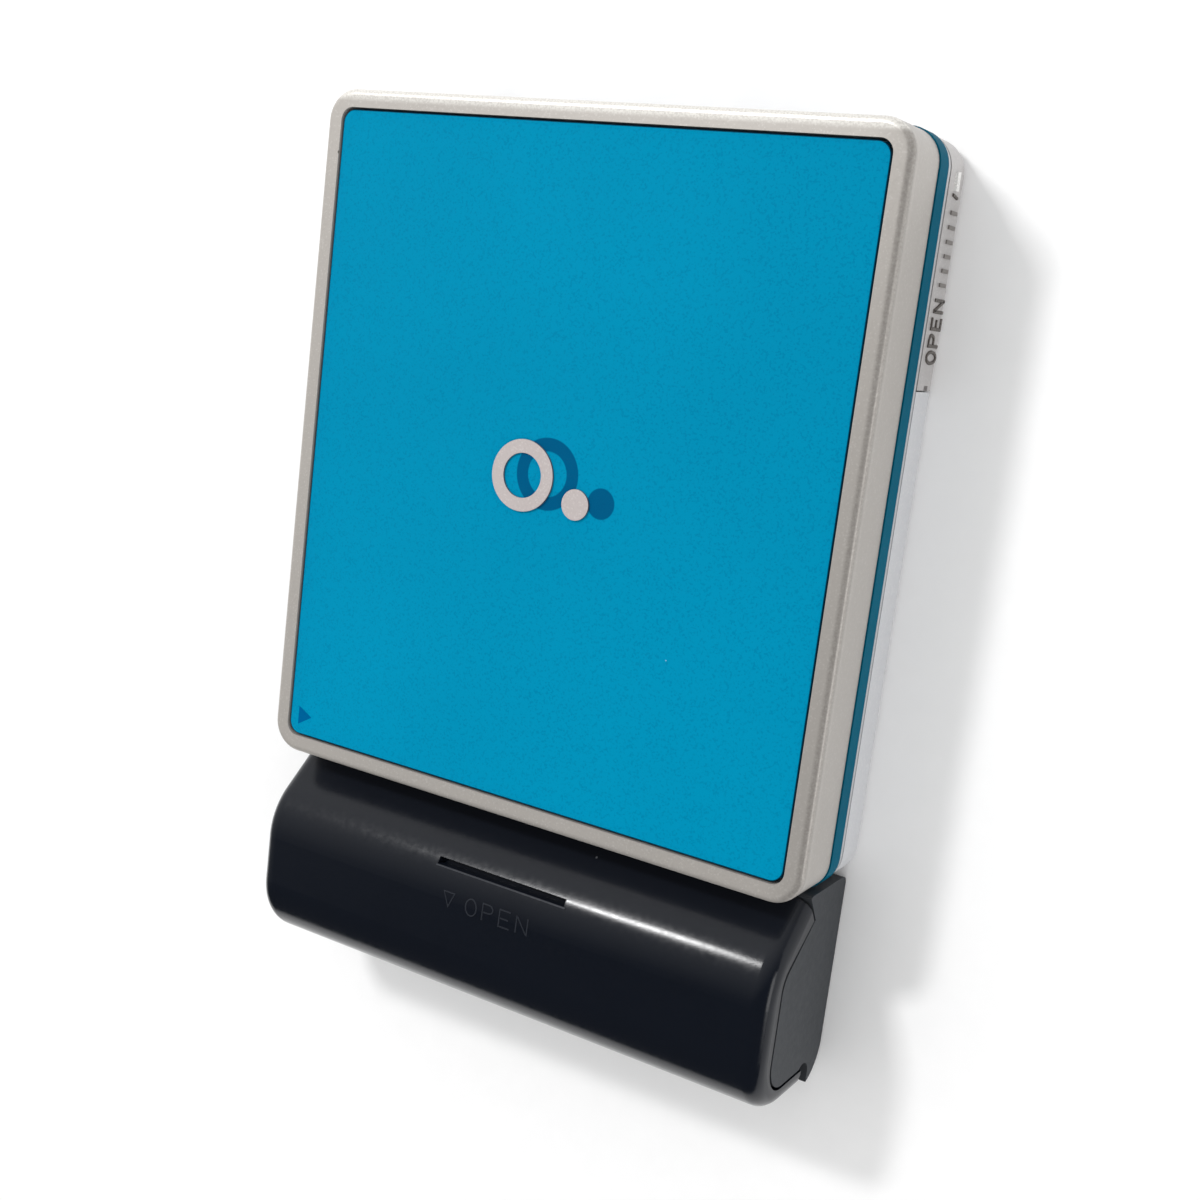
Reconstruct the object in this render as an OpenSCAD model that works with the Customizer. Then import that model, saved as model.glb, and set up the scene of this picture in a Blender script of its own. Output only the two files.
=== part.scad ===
/* [Player body] */
// Width of the player, left to right
body_w = 72; // [70.8:0.1:76]
// Room from the disc cartridge to each end of the player
end_room = 3.7; // [2.8:0.05:6]
// Radius of the player's four upright corners
corner_r = 3.6; // [3.5:0.1:5]
// Thickness of the back shell's floor
floor_t = 0.8; // [0.6:0.1:1]
// Thickness of the back shell's side walls
shell_wall = 1; // [0.8:0.1:1.2]
// Height of the back shell
shell_h = 5.4; // [5.2:0.1:6]
// Radius of the back shell's lower edge
back_edge_r = 1.6; // [0.6:0.1:2]
// Height of the bare rim between the back shell and the coloured band
rim_h = 1.2; // [0.9:0.1:1.6]
// Height of the coloured band
band_h = 2.4; // [2:0.1:3]
// How far the coloured band stands proud of the walls
band_proud = 0.15; // [0.05:0.05:0.3]
// Thickness of the rim and band walls
band_wall = 0.7; // [0.5:0.05:0.8]
// Gap between the band and the closed lid
parting_gap = 0.1; // [0.05:0.05:0.2]

/* [Lid] */
// Height of the lid from its lower edge to its front
lid_h = 7.1; // [6.9:0.1:8]
// Thickness of the lid's side walls
lid_wall = 1.2; // [1:0.1:1.3]
// Radius of the lid's front edge
lid_edge_r = 0.75; // [0.4:0.05:1]
// Width of the lid's bezel round the window
bezel_w = 2.1; // [1.9:0.1:2.4]
// Radius of the window's corners
window_r = 1.5; // [1.2:0.1:2]
// Thickness of the clear window
window_t = 1.95; // [1.5:0.05:2]
// Gap between the window and the bezel
window_gap = 0.25; // [0.1:0.05:0.35]
// Depth of the window's face below the bezel
window_sink = 0.2; // [0.1:0.05:0.4]
// Thickness of the coloured plate behind the window
backing_t = 0.4; // [0.3:0.05:0.45]
// Thickness of the ledge that carries the plate
ledge_t = 0.35; // [0.3:0.05:0.5]
// Thickness of the steel plate inside the lid
inner_plate_t = 0.4; // [0.3:0.05:0.5]
// Radius of the lid's hinge barrel
barrel_r = 1.2; // [1:0.05:1.25]
// Radius of the lid's hinge pins
lid_pin_r = 0.4; // [0.3:0.05:0.5]
// Diameter of the round emblem on the window
emblem_d = 8; // [6:0.5:14]
// Thickness of the emblem
emblem_t = 0.25; // [0.15:0.05:0.4]

/* [Disc holder] */
// Thickness of the holder's sheet metal
sheet_t = 0.35; // [0.25:0.05:0.4]
// Width of the disc cartridge that slides in
cartridge_w = 72; // [71:0.1:72.2]
// Thickness of the disc cartridge
cartridge_t = 5; // [4.8:0.05:5.05]
// Width of the lips under the cartridge
lip_w = 1.5; // [1:0.1:2.5]
// Radius of the studs that the holder turns on
stud_r = 0.5; // [0.4:0.05:0.6]

/* [Disc mechanism] */
// Thickness of the mechanism's deck
deck_t = 0.6; // [0.5:0.05:0.8]
// Height of the deck's underside above the back
deck_z = 4.2; // [4.1:0.05:4.3]
// Radius of the spindle motor
motor_r = 6.5; // [5.5:0.1:7]
// Radius of the turntable
turntable_r = 5.2; // [4.5:0.1:5.5]
// Radius of the spindle shaft
spindle_r = 0.75; // [0.6:0.05:0.9]
// Room between the guide rods and the top end of the player
rod_end_room = 3; // [2.9:0.05:6]
// Radius of the two guide rods
rod_r = 0.6; // [0.5:0.05:0.7]
// Distance between the two guide rods
rod_gap = 16.4; // [16:0.1:17]
// Outer radius of the lead screw
screw_r = 0.8; // [0.7:0.05:0.9]
// Pitch of the lead screw's thread
screw_pitch = 1.5; // [1.2:0.1:2]
// Module of the gear teeth
gear_module = 0.25; // [0.22:0.01:0.26]
// Teeth on the lead screw's gear
screw_teeth = 14; // [12:1:14]
// Teeth on the motor's pinion
pinion_teeth = 8; // [8:1:9]

/* [Opening slide] */
// Distance of the slide's lower end from the player's middle
slide_start = 14.2; // [12:0.1:18]
// Thickness of the slide's wall
slide_wall = 1.2; // [1:0.05:1.3]
// Travel of the slide
slide_travel = 3; // [2.5:0.1:3.2]
// Thickness of the latch bar
latch_t = 0.6; // [0.5:0.05:0.65]

/* [Keys and jack] */
// Width of the play key and of the stop key
key_w = 7; // [5:0.1:8]
// Width of the volume rocker
rocker_w = 13; // [10:0.1:14]
// Height of the keys
key_h = 2.4; // [1.8:0.1:2.6]
// How far the keys stand proud of the top wall
key_proud = 0.5; // [0.3:0.05:0.7]
// Gap round each key
key_gap = 0.15; // [0.12:0.01:0.2]
// Radius of the headphone jack's bore
jack_r = 1.78; // [1.7:0.01:1.8]
// Length of the headphone jack
jack_l = 12; // [10:0.1:13]
// Length of the hold switch's knob
hold_l = 4; // [3:0.1:5]

/* [Flat cell] */
// Width of the flat cell
cell_w = 16.8; // [16:0.1:16.9]
// Thickness of the flat cell
cell_t = 5.8; // [5.4:0.05:5.85]
// Room that the player's width leaves beside the flat cell
cell_room = 8; // [7.5:0.1:12]

/* [Battery case] */
// Width of the battery case
case_w = 70; // [68:0.1:72]
// Reach of the battery case below the player
case_l = 24.5; // [24:0.1:27]
// Height of the case's front above the player's back
case_h = 17.6; // [17.4:0.1:19]
// Thickness of the case's walls
case_wall = 1.3; // [1.1:0.05:1.4]
// Height at which the case's lid meets the player's end
case_slant_z = 9.9; // [9:0.1:11]
// Radius of the case's shoulder
shoulder_r = 8.5; // [7:0.1:9]
// Radius of the case's lower front edge
toe_r = 7.5; // [6.5:0.1:8]
// Radius of the case's lower back edge
heel_r = 4.5; // [4:0.1:4.6]
// Depth of the case lid's rim over the end plates
rim_depth = 2.95; // [2.8:0.05:3.2]
// Radius that rounds the case lid's two ends
end_r = 2; // [1.2:0.1:2.2]
// Width of the dark seam round the end plates
seam_gap = 0.35; // [0.25:0.05:0.45]
// Radius of the round cell
round_cell_r = 7.1; // [6.9:0.05:7.15]
// Length of the round cell
round_cell_l = 50.5; // [49:0.1:51]
// Radius of the thumb screw's knob
knob_r = 2.7; // [2.4:0.05:2.8]
// Radius of the thumb screw's thread
thread_r = 1; // [0.8:0.05:1.1]

/* [Hidden] */
$fn = 64;
eps = 0.01;
run_gap = 0.03;

// Heights of the player's layers
rim_top = shell_h + rim_h;
band_top = rim_top + band_h;
lid_z = band_top + parting_gap;
front_z = lid_z + lid_h;
window_top = front_z - window_sink;
window_z = window_top - window_t;
backing_z = window_z - backing_t - 0.05;
ledge_z = backing_z - ledge_t;
inner_plate_z = ledge_z - inner_plate_t;
half_w = body_w / 2;
body_l = cartridge_w + 2 * end_room;
half_l = body_l / 2;

// Hinge axis of the lid, along the player's left edge
hinge_x = -half_w + barrel_r;
hinge_z = lid_z;
groove_r = barrel_r + 0.1;
ear_y0 = 12;
ear_y1 = 14.6;
pin_y0 = ear_y0 - 3;
pin_y1 = ear_y1 + 3;
barrel_end = cartridge_w / 2 - 0.1;
skirt_h = 0.6;

// Disc holder
holder_top = inner_plate_z - 0.15;
cartridge_top = holder_top - sheet_t - 0.05;
cartridge_z = cartridge_top - cartridge_t;
lip_z = cartridge_z - sheet_t;
flange_y = cartridge_w / 2 + 0.15;
holder_x0 = hinge_x + barrel_r + 0.3;
holder_x1 = half_w - lid_wall - 0.6;
stud_x = hinge_x + barrel_r;
stud_z = lip_z + 0.95;
eye_r = 1.05;
finger_r = 9;
holder_hole_r = 7;
holder_slot_w = 6;

// Disc mechanism
disc_x = (holder_x0 + holder_x1) / 2 + 0.2;
deck_top = deck_z + deck_t;
rod_z = deck_top + 0.3;
sled_y0 = 9.6;
sled_l = 10.4;
rod_y0 = 7.8;
rod_y1 = half_l - rod_end_room;
bay_y1 = -half_l + 20.8;
bay_y0 = bay_y1 - cell_w - 0.3;
screw_x = disc_x - rod_gap / 2 - 3.9;
gear_gap = gear_module * (screw_teeth + pinion_teeth) / 2 + 0.06;
pinion_x = screw_x - gear_gap;
gear_y = 6.6;
gear_t = 1;
motor_top = deck_z;
board_z = floor_t + 0.5;
board_t = 0.6;

// Opening slide and latch
slide_back = slide_wall + 0.15;
latch_x = half_w - band_wall - 0.65;
latch_z = shell_h + 0.3;
hook_y = [-half_l + 9.7, 2];
hook_w = 2;
foot_l = 1.5;
tongue_t = 0.45;
tongue_x = half_w - band_wall - 0.15 - tongue_t;

// Screws that hold the back shell
screw_x_at = half_w - 6;
screw_at = [[-screw_x_at, -half_l + 2.25], [screw_x_at, -half_l + 2.25],
    [-screw_x_at, half_l - 2.4], [screw_x_at - 3.5, half_l - 2.4]];
post_x = half_w - 5.5;
slot_x = half_w - 14;
screw_shaft_r = 0.6;
screw_head_r = 1.05;
boss_r = 1.35;

// Places of the keys along the top wall
key_z = 1.7;
jack_x = -half_w + 13;
play_x = jack_x + 12;
stop_x = play_x + key_w + 2.5;
rocker_x = stop_x + key_w / 2 + rocker_w / 2 + 3.5;
jack_z = 3.05;
key_flange_y = half_l - shell_wall - key_gap;
key_flange_t = 0.7;
key_nub = 0.4;
switch_h = 1;
switch_y = key_flange_y - key_flange_t - key_nub - 0.6;
hold_y = 12;
hold_travel = 2;
hold_z = 2.8;

// Door of the flat cell's bay
door_t = 0.9;
door_y0 = -half_l + corner_r + 0.15;
door_y1 = bay_y1 + 0.3;
door_top = cell_t + floor_t + 0.3;
door_pin = [-half_w + 0.9, door_y1 + 1.1];
door_pin_r = 0.35;
cell_l = body_w - cell_room;
cell_x0 = -half_w + door_t + 1;
cell_x1 = cell_x0 + cell_l;
bay_x1 = cell_x1 + 0.5;

// Battery case, drawn as distance from the player's end and height
case_gap = 0.25;
case_z = 0.3;
slant_run = case_h - case_slant_z;
case_pts = [
    [case_gap, case_z, 1], [case_gap, case_slant_z, 1], [case_gap + slant_run * 0.95, case_h, shoulder_r],
    [case_l, case_h, toe_r], [case_l, case_z, heel_r]
];
slant_dir = toward(corner_at(case_pts, 1), corner_at(case_pts, 2));
slant_a = 90 + atan2(slant_dir[1], slant_dir[0]);
shoulder_c = [case_pts[2][0] + shoulder_r * tan(slant_a / 2 - 45), case_h - shoulder_r];
toe_c = [case_l - toe_r, case_h - toe_r];
skin_t = end_r + 0.3;
case_hinge = [case_l - 1.5, case_z + 4.6];
case_barrel_r = 1.5;
case_pin_r = 0.45;
round_cell_c = [case_l - 10.95, case_z + case_wall + round_cell_r + 0.05];
round_cell_x0 = -round_cell_l / 2 - 1.5;
knob_y = 3.6;
knob_z = 3.2;
end_t = 2.2;
ear_x = case_w / 2 - 6;
spring_r = 2.6;
spring_wire = 0.3;
spring_turns = 4;

// Unit vector from a to b
function toward(a, b) = (b - a) / norm(b - a);
function corner_at(p, i) = [p[i][0], p[i][1]];

// Polygon whose corners carry their own radius: [x, y, r]
module rounded(p) {
    n = len(p);
    u = [for (i = [0:n - 1]) toward(corner_at(p, i), corner_at(p, (i + n - 1) % n))];
    v = [for (i = [0:n - 1]) toward(corner_at(p, i), corner_at(p, (i + 1) % n))];
    half = [for (i = [0:n - 1]) acos(u[i] * v[i]) / 2];
    polygon([for (i = [0:n - 1], k = [0, 1])
        corner_at(p, i) + (k == 0 ? u[i] : v[i]) * p[i][2] / tan(half[i])]);
    for (i = [0:n - 1])
        if (p[i][2] > 0)
            translate(corner_at(p, i) + (u[i] + v[i]) / norm(u[i] + v[i]) * p[i][2] / sin(half[i]))
                circle(r = p[i][2]);
}

// Flat plate with round corners between two heights
module plate(w, l, r, z0, z1) {
    translate([0, 0, z0]) linear_extrude(height = z1 - z0) rounded([
        [-w / 2, -l / 2, r], [w / 2, -l / 2, r], [w / 2, l / 2, r], [-w / 2, l / 2, r]
    ]);
}

// Box between two opposite corners
module block(a, b) {
    translate(a) cube(b - a);
}

// Rod along Y, or along X
module rod_y(x, z, y0, y1, r) {
    translate([x, y1, z]) rotate([90, 0, 0]) cylinder(r = r, h = y1 - y0);
}
module rod_x(y, z, x0, x1, r) {
    translate([x0, y, z]) rotate([0, 90, 0]) cylinder(r = r, h = x1 - x0);
}
module both_ends() {
    children();
    mirror([0, 1, 0]) children();
}

// Carries a wall profile, drawn as depth inside the outline and height, round the player
module round_player() {
    x = half_w - corner_r;
    y = half_l - corner_r;
    for (i = [0:3])
        translate([(i == 0 || i == 3 ? x : -x), (i < 2 ? y : -y), 0])
            rotate([0, 0, 90 * i]) rotate_extrude(angle = 90)
                translate([corner_r, 0]) mirror([1, 0]) children();
    for (side = [0, 180])
        rotate([0, 0, side]) translate([half_w, 0, 0]) rotate([90, 0, 0])
            linear_extrude(height = 2 * y, center = true) mirror([1, 0]) children();
    for (side = [90, 270])
        rotate([0, 0, side]) translate([half_l, 0, 0]) rotate([90, 0, 0])
            linear_extrude(height = 2 * x, center = true) mirror([1, 0]) children();
}

// Round the player's outline, a depth inside it
module inset_plate(depth, z0, z1) {
    plate(body_w - 2 * depth, body_l - 2 * depth, corner_r - depth, z0, z1);
}

// Places of the deck's posts
module deck_posts() {
    for (x = [-post_x, post_x], y = [bay_y1 + 3.5, half_l - 7.2])
        translate([x, y, 0]) children();
}

module screw_places() {
    for (p = screw_at) translate([p[0], p[1], 0]) children();
}

// Space that the opening slide takes from the back shell
module slide_space(depth, extra) {
    difference() {
        union() {
            block([half_w - depth, slide_start - extra, -1], [half_w + 1, half_l - corner_r, shell_h + 1]);
            block([half_w - corner_r - extra, half_l - corner_r - eps, -1], [half_w + 1, half_l + 1, shell_h + 1]);
        }
        translate([half_w - corner_r, half_l - corner_r, -2])
            cylinder(r = corner_r - depth, h = shell_h + 4);
        block([half_w - corner_r - 2, half_l - corner_r - 3, -2], [half_w - corner_r, half_l - depth, shell_h + 2]);
    }
}

module key_hole(x, w) {
    block([x - w / 2 - key_gap, half_l - shell_wall - 1, key_z - key_gap],
        [x + w / 2 + key_gap, half_l + 1, key_z + key_h + key_gap]);
}

module shell_wall_profile() {
    difference() {
        union() {
            translate([0, back_edge_r]) square([shell_wall, shell_h - back_edge_r]);
            translate([back_edge_r, 0]) square([corner_r - 0.2 - back_edge_r, floor_t]);
            translate([0, 0]) intersection() {
                square(back_edge_r + eps);
                translate([back_edge_r, back_edge_r]) circle(r = back_edge_r);
            }
        }
        translate([back_edge_r, back_edge_r]) circle(r = back_edge_r - shell_wall);
    }
}

module back_shell() {
    color("#bebfc1") difference() {
        union() {
            difference() {
                round_player() shell_wall_profile();
                slide_space(slide_back, 0.15);
            }
            difference() {
                inset_plate(corner_r - 0.4, 0, floor_t);
                slide_space(slide_back, 0.15);
            }
            slide_inner_wall();
            bay_walls();
            deck_posts() {
                cylinder(r = 2, h = board_z);
                cylinder(r = 1.2, h = deck_z - 1);
            }
            intersection() {
                screw_places() cylinder(r = boss_r, h = shell_h);
                inset_plate(0.3, 0, shell_h);
            }
            block([jack_x - 3.2, half_l - jack_l - 0.2, 0], [jack_x + 3.2, half_l - 0.3, jack_z - 1.5]);
        }
        screw_places() {
            translate([0, 0, -1]) cylinder(r = screw_head_r + 0.1, h = 1.9);
            cylinder(r = screw_shaft_r + 0.06, h = shell_h + 1);
        }
        key_hole(play_x, key_w);
        key_hole(stop_x, key_w);
        key_hole(rocker_x, rocker_w);
        rod_y(jack_x, jack_z, half_l - jack_l - 1, half_l + 1, 2.4);
        rod_y(0, knob_z, -half_l - 1, bay_y0 - 0.3, 1.6);
        for (i = [-1:1]) rod_y(-14 + 2.5 * i, knob_z, -half_l - 1, -half_l + 2, 0.5);
        block([-half_w - 1, hold_y - hold_l / 2 - 0.2, hold_z - 0.9],
            [-half_w + 2, hold_y + hold_l / 2 + hold_travel + 0.2, hold_z + 0.9]);
        block([-half_w - 1, door_y0 - 0.1, floor_t], [-half_w + 3, door_y1 + 2.2, shell_h + 1]);
        translate([door_pin[0], door_pin[1], floor_t - 0.4]) cylinder(r = door_pin_r, h = 2);
    }
}

// Inner wall behind the opening slide, with the slot for its lug
module slide_inner_wall() {
    difference() {
        intersection() {
            round_player() translate([slide_back, 0]) square([0.7, shell_h]);
            block([half_w - corner_r - 0.2, slide_start - 1.2, 0], [half_w, half_l, shell_h]);
        }
        block([half_w - slide_back - 1, slide_start + 7.6, shell_h - 1.2],
            [half_w, slide_start + 13.2 + slide_travel, shell_h + 1]);
    }
    block([half_w - slide_back - 0.7, slide_start - 1.2, 0], [half_w - shell_wall + 0.1, slide_start - 0.2, shell_h]);
}

module bay_walls() {
    wall = 0.6;
    block([-half_w + 3, bay_y1, floor_t - eps], [bay_x1 + wall, bay_y1 + wall, deck_z - 0.3]);
    block([bay_x1, bay_y0 - wall, floor_t - eps], [bay_x1 + wall, bay_y1 + eps, shell_h]);
}

// Wall of the bare rim and its seat on the back shell
module mid_frame() {
    color("#c9cacb") difference() {
        union() {
            round_player() {
                translate([0.25, shell_h]) square([band_wall - 0.25, 0.3]);
                translate([0, shell_h + 0.25]) square([band_wall, rim_h - 0.25]);
                translate([band_wall - eps, shell_h]) square([1.3, 0.2]);
            }
            both_ends() hinge_ear();
            block([-half_w + band_wall - eps, door_pin[1] - 0.9, shell_h], [door_pin[0] + 1.2, door_pin[1] + 1.2, rim_top]);
            both_ends() stud_boss();
            intersection() {
                screw_places() translate([0, 0, shell_h]) cylinder(r = boss_r, h = rim_h);
                inset_plate(0.3, shell_h, rim_top);
            }
        }
        screw_places() translate([0, 0, shell_h - 1]) cylinder(r = screw_shaft_r + 0.02, h = 2);
        both_ends() rod_y(hinge_x, hinge_z, pin_y0, pin_y1, lid_pin_r + 0.02);
        both_ends() rod_y(hinge_x, hinge_z, ear_y1 + 0.1, half_l, groove_r);
        translate([door_pin[0], door_pin[1], shell_h - 1]) cylinder(r = door_pin_r + 0.02, h = 4);
        block([half_w - slide_back - 1.2, slide_start + 7.6, shell_h - 1],
            [half_w - band_wall - 0.2, slide_start + 13.2 + slide_travel, shell_h + 0.25]);
        block([-half_w - 1, door_y0 - 0.1, shell_h - 1], [-half_w + 3, door_y1 + 0.15, rim_top + 1]);
        door_swing_space(shell_h - 1, rim_top + 1);
    }
}

// Notch for the door's hinged edge as it swings out
module door_swing_space(z0, z1) {
    block([-half_w - 1, door_y0 - 0.1, z0], [door_pin[0] - 0.55, door_pin[1] - 0.5, z1]);
}

module hinge_ear() {
    rod_y(hinge_x, hinge_z, ear_y0, ear_y1, barrel_r);
    block([-half_w + band_wall + 0.05, ear_y0, shell_h], [hinge_x + barrel_r, ear_y1, hinge_z]);
}

module stud_boss() {
    intersection() {
        rod_y(stud_x, stud_z, flange_y + sheet_t + 0.2, half_l, eye_r);
        inset_plate(band_wall + 0.05, shell_h, band_top);
    }
    block([stud_x - 0.8, flange_y + sheet_t + 0.2, shell_h], [stud_x + 0.8, half_l - 2, stud_z]);
}

module holder_studs() {
    color("#d8d8d8") both_ends() rod_y(stud_x, stud_z, flange_y - 0.05, flange_y + sheet_t + 0.2, stud_r);
}

module accent_band() {
    color("#006a88") difference() {
        round_player() translate([-band_proud, rim_top]) square([band_wall + band_proud, band_h]);
        rod_y(hinge_x, hinge_z, -half_l - 1, half_l + 1, groove_r);
        block([-half_w - 1, -half_l - 1, hinge_z - 0.8], [-half_w, half_l + 1, hinge_z + 1]);
        block([-half_w - 1, door_y0 - 0.1, rim_top - 1], [-half_w + 3, door_y1 + 0.15, door_top + 0.1]);
        door_swing_space(rim_top - 1, door_top + 0.1);
    }
}

module mechanism_deck() {
    x = holder_x1 - 1.6;
    color("#a9abad") difference() {
        union() {
            block([-x, bay_y1 + 0.9, deck_z], [x, rod_y1, deck_top]);
            for (s = [-1, 1], y = [rod_y0, rod_y1 - 1.2])
                block([disc_x + s * rod_gap / 2 - 1.3, y, deck_z], [disc_x + s * rod_gap / 2 + 1.3, y + 1.2, rod_z + 1]);
            for (y = [gear_y + 1.3, rod_y1 - 1])
                block([screw_x - 1.2, y, deck_z], [screw_x + 1.2, y + 1, rod_z + 1.2]);
        }
        block([screw_x - 1.4, rod_y0 + 1.2, deck_z - 1], [disc_x + rod_gap / 2 + 2.2, rod_y1 - 1.2, deck_top + eps]);
        block([pinion_x - 2.3, -3, deck_z - 1], [screw_x + 2.4, gear_y + 1.3, deck_top + 1]);
        for (s = [-1, 1]) rod_y(disc_x + s * rod_gap / 2, rod_z, rod_y0 - 1, rod_y1 + 1, rod_r);
        rod_y(screw_x, rod_z, gear_y, rod_y1 + 1, screw_r + run_gap);
        translate([disc_x, 0, deck_z - 1]) cylinder(r = 2.4, h = 3);
        deck_posts() translate([0, 0, deck_z - 1]) cylinder(r = 1.3, h = 3);
        screw_places() translate([0, 0, deck_z - 1]) cylinder(r = boss_r + 0.4, h = 3);
        block([jack_x - 3.3, half_l - jack_l - 0.4, deck_z - 1], [jack_x + 3.3, half_l, deck_top + 1]);
        for (x = [-slot_x, slot_x], y = [-10, 19])
            translate([x, y, deck_z - 1]) cylinder(r = 3.2, h = 3);
    }
}

module deck_dampers() {
    color("#303236") deck_posts() difference() {
        union() {
            translate([0, 0, deck_z - 1]) cylinder(r = 2, h = 1);
            translate([0, 0, deck_z - eps]) cylinder(r = 1.3, h = deck_t + 0.2);
        }
        translate([0, 0, deck_z - 2]) cylinder(r = 0.7, h = 4);
    }
}

module spindle_motor() {
    color("#8c8f93") translate([disc_x, 0, 0]) difference() {
        union() {
            translate([0, 0, board_z + board_t + 0.3]) cylinder(r = motor_r, h = deck_z - board_z - board_t - 0.3);
            translate([0, 0, board_z]) cylinder(r = 3, h = board_t + 0.3 + eps);
            cylinder(r = 2.35, h = deck_top);
        }
        translate([0, 0, board_z + 0.4]) cylinder(r = spindle_r + run_gap, h = 5);
        translate([0, 0, -1]) cylinder(r = 5, h = board_z + 1);
    }
}

module turntable() {
    color("#c6c8ca") translate([disc_x, 0, 0]) {
        translate([0, 0, board_z + 0.6]) cylinder(r = spindle_r, h = deck_top);
        difference() {
            union() {
                translate([0, 0, deck_top + 0.2]) cylinder(r = turntable_r, h = 0.9);
                translate([0, 0, deck_top + 0.2]) cylinder(r = 3.9, h = lip_z - deck_top);
            }
            for (i = [0:5])
                rotate([0, 0, 60 * i]) translate([turntable_r - 0.65, 0, deck_top]) cylinder(r = 0.35, h = 2);
            translate([0, 0, lip_z - 0.2]) cylinder(r = 1.8, h = 2);
        }
    }
}

module guide_rods() {
    color("#dcdddf") for (s = [-1, 1])
        rod_y(disc_x + s * rod_gap / 2, rod_z, rod_y0, rod_y1, rod_r);
}

module pickup_sled() {
    x0 = disc_x - rod_gap / 2;
    x1 = disc_x + rod_gap / 2;
    color("#55585c") difference() {
        union() {
            block([x0 + 1.6, sled_y0, rod_z - 1.9], [x1 - 1.6, sled_y0 + sled_l, rod_z + 0.7]);
            for (y = [sled_y0, sled_y0 + sled_l - 2.4])
                rod_y(x0, rod_z, y, y + 2.4, 1.15);
            for (y = [sled_y0, sled_y0 + sled_l - 2.4])
                block([x0, y, rod_z - 0.9], [x0 + 2, y + 2.4, rod_z + 0.5]);
            rod_y(x1, rod_z, sled_y0 + 3.6, sled_y0 + 6.8, 1.15);
            block([x1 - 2, sled_y0 + 3.6, rod_z - 0.9], [x1, sled_y0 + 6.8, rod_z + 0.5]);
            rod_y(screw_x, rod_z, sled_y0 + 4, sled_y0 + 6.4, 1.3);
            block([screw_x, sled_y0 + 4, rod_z - 1.25], [x0 - 0.8, sled_y0 + 6.4, rod_z - 0.9]);
            block([x0 - 1.4, sled_y0 + 4, rod_z - 1.25], [x0 + 2, sled_y0 + 6.4, rod_z - 0.75]);
            translate([disc_x, sled_y0 + sled_l / 2, rod_z]) cylinder(r = 3.4, h = 1.2);
        }
        for (x = [x0, x1]) rod_y(x, rod_z, sled_y0 - 1, sled_y0 + sled_l + 1, rod_r + run_gap);
        rod_y(screw_x, rod_z, sled_y0, sled_y0 + sled_l, screw_r + run_gap);
        translate([disc_x, sled_y0 + sled_l / 2, rod_z + 0.5]) cylinder(r = 2.3, h = 2);
        block([x1 - 4.6, sled_y0 + 1, rod_z + 0.2], [x1 - 2.6, sled_y0 + 3, rod_z + 1]);
    }
}

module objective_lens() {
    color("#7fa6c8") translate([disc_x, sled_y0 + sled_l / 2, rod_z + 0.5]) {
        difference() {
            cylinder(r = 2.2, h = 0.6);
            translate([0, 0, 0.3]) cylinder(r = 1.5, h = 1);
        }
        intersection() {
            translate([0, 0, -2.1]) sphere(r = 3);
            cylinder(r = 1.4, h = 2);
        }
    }
}

// Spur gear outline with straight-sided teeth
module gear_outline(teeth, shift) {
    pitch_r = gear_module * teeth / 2;
    step = 360 / teeth;
    polygon([for (i = [0:teeth - 1], c = [[-0.31, -1.15], [-0.12, 0.9], [0.12, 0.9], [0.31, -1.15]])
        (pitch_r + c[1] * gear_module) * [cos((i + c[0] + shift) * step), sin((i + c[0] + shift) * step)]]);
}

module lead_screw() {
    turns = floor((rod_y1 - rod_y0 - 5) / screw_pitch);
    color("#b9babc") {
        difference() {
            rod_y(screw_x, rod_z, gear_y, rod_y1 - 0.1, screw_r);
            for (i = [0:turns - 1])
                translate([screw_x, rod_y0 + 2.6 + i * screw_pitch, rod_z]) rotate([-90, 0, 0])
                    rotate_extrude() translate([screw_r, 0]) circle(r = screw_r * 0.28, $fn = 16);
        }
        translate([screw_x, gear_y + gear_t, rod_z]) rotate([90, 0, 0])
            linear_extrude(height = gear_t) gear_outline(screw_teeth, 0);
    }
}

module motor_pinion() {
    color("#c8a860") {
        translate([pinion_x, gear_y + gear_t, rod_z]) rotate([90, 0, 0])
            linear_extrude(height = gear_t) gear_outline(pinion_teeth, 0.5);
        rod_y(pinion_x, rod_z, gear_y - 3, gear_y + 0.1, 0.3);
    }
}

module sled_motor() {
    color("#b4b6b8") difference() {
        rod_y(pinion_x, rod_z, -2.4, gear_y - 0.4, 2);
        rod_y(pinion_x, rod_z, gear_y - 3.2, gear_y, 0.3 + run_gap);
        block([pinion_x - 3, -3, -1], [pinion_x + 3, gear_y, board_z + board_t + 0.5]);
    }
    color("#3c3e42") block([pinion_x - 1.6, -2, board_z + board_t], [pinion_x + 1.6, gear_y - 1, rod_z - 1.2]);
}

module circuit_board() {
    x = half_w - slide_back - 1.1;
    color("#1f6b45") difference() {
        block([-x, bay_y1 + 0.8, board_z], [x, half_l - 3.9, board_z + board_t]);
        deck_posts() translate([0, 0, board_z - 1]) cylinder(r = 1.25, h = 3);
        screw_places() translate([0, 0, board_z - 1]) cylinder(r = boss_r + 0.2, h = 3);
        translate([disc_x, 0, board_z - 1]) cylinder(r = 3.05, h = 3);
        block([jack_x - 3.4, half_l - jack_l - 0.4, board_z - 1], [jack_x + 3.4, half_l, board_z + 2]);
    }
}

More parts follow.
